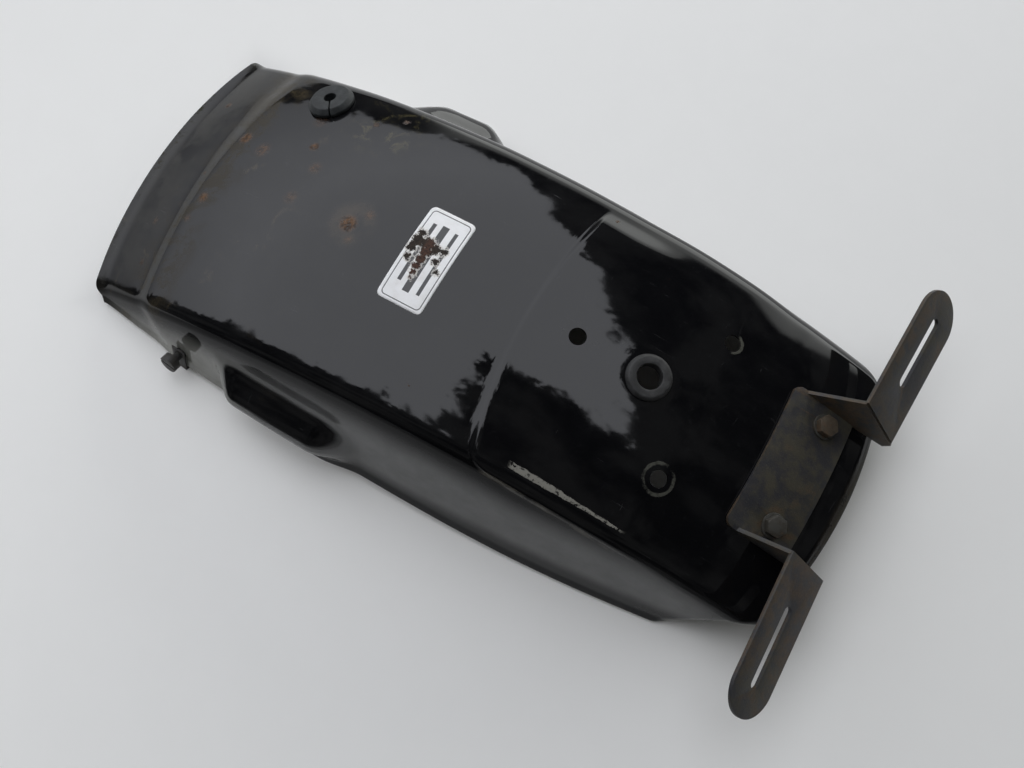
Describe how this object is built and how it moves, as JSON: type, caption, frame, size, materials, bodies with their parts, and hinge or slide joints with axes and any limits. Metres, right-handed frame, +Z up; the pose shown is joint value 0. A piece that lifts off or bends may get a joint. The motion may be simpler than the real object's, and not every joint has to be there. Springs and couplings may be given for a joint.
{
  "type": "motorcycle rear fender",
  "caption": "Pressed steel motorcycle rear fender with level skirts, a raised lamp pad and a bolted number plate bracket with slotted ears.",
  "frame": {"origin": "centre of the circle through the three tail lamp holes, in the plane that crosses them 3.7 mm below the middle of the raised pad", "axes": "+X to the front of the machine, +Y to its left, +Z up from the level lower edge"},
  "size_m": [0.4359, 0.2448, 0.089],
  "materials": {
    "black_paint": "gloss, dusty and rubbed",
    "bracket_steel": "worn, dirty and rusted at the edges",
    "fastener_steel": "rusted zinc",
    "clip_steel": "dark phosphated",
    "rubber": "matt, dusty"
  },
  "bodies": {
    "root": {"fender_shell": "black_paint", "lamp_cable_grommet": "rubber", "slit_grommet": "rubber", "plate_bracket": "bracket_steel", "bracket_bolt_left": "fastener_steel", "bracket_bolt_right": "fastener_steel", "bolt_washer_left": "fastener_steel", "bolt_washer_right": "fastener_steel", "nut_washer_left": "fastener_steel", "nut_washer_right": "fastener_steel", "bracket_nut_left": "fastener_steel", "bracket_nut_right": "fastener_steel", "edge_clip": "clip_steel", "clip_screw": "clip_steel"}
  },
  "joints": []
}
